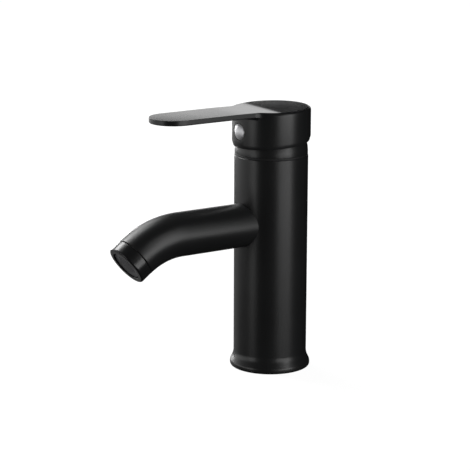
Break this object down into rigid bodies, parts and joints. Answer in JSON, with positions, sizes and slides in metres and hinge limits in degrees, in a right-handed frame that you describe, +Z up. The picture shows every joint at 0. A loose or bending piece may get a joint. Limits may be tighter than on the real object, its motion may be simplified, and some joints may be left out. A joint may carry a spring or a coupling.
{
  "type": "bathroom mixer faucet",
  "caption": "Black single-lever basin mixer with a straight column, a bent tube spout and a flat paddle lever that turns for temperature and lifts for flow.",
  "frame": {"origin": "on the column's axis, at the deck", "axes": "+Z up along the column, -Y towards the user along the spout and the lever, +X to the user's right"},
  "size_m": [0.0494, 0.1355, 0.1623],
  "materials": {
    "black_paint": "satin black coating",
    "black_plastic": "matt moulded",
    "grey_plastic": "matt moulded",
    "white_plastic": "moulded",
    "carrier_plastic": "moulded",
    "ceramic": "lapped and polished",
    "brass": "machined",
    "copper": "drawn tube",
    "steel": "machined",
    "rubber": "moulded",
    "chrome": "bright plated"
  },
  "bodies": {
    "mixer": {"body": "black_paint", "base_block": "brass", "deck_seal": "rubber", "hot_pipe": "copper", "cold_pipe": "copper", "pipe_seals": "rubber", "valve_block": "brass", "spout_adapter": "brass", "adapter_seal": "rubber", "spout": "black_paint", "aerator_housing": "black_paint", "aerator_washer": "rubber", "aerator_insert": "grey_plastic", "aerator_screen": "grey_plastic", "glide_ring": "black_plastic", "neck_ring": "black_paint", "retaining_nut": "brass", "cartridge_housing": "white_plastic", "cartridge_base": "white_plastic", "cartridge_seals": "rubber", "fixed_disc": "ceramic"},
    "sleeve": {"spindle_sleeve": "carrier_plastic", "sleeve_seal": "rubber", "spindle_pin": "steel"},
    "lever": {"handle": "black_paint", "handle_set_screw": "steel", "index_button": "chrome", "spindle": "steel"},
    "disc_pair": {"disc_carrier": "carrier_plastic", "moving_disc": "ceramic"}
  },
  "joints": [
    {"name": "temperature_swing", "type": "hinge", "parent": "mixer", "child": "sleeve", "pos_m": [0, 0, 0.135], "axis": [0, 0, 1], "range_deg": [-45, 45]},
    {"name": "flow_lift", "type": "hinge", "parent": "sleeve", "child": "lever", "pos_m": [0, 0, 0.135], "axis": [-1, 0, 0], "range_deg": [0, 24]},
    {"name": "disc_slide", "type": "slide", "parent": "sleeve", "child": "disc_pair", "axis": [0, -1, 0], "range_m": [0, 0.0038]}
  ],
  "couplings": [
    {"joint": "disc_slide", "follows": "flow_lift", "m_per_rad": 0.009}
  ]
}
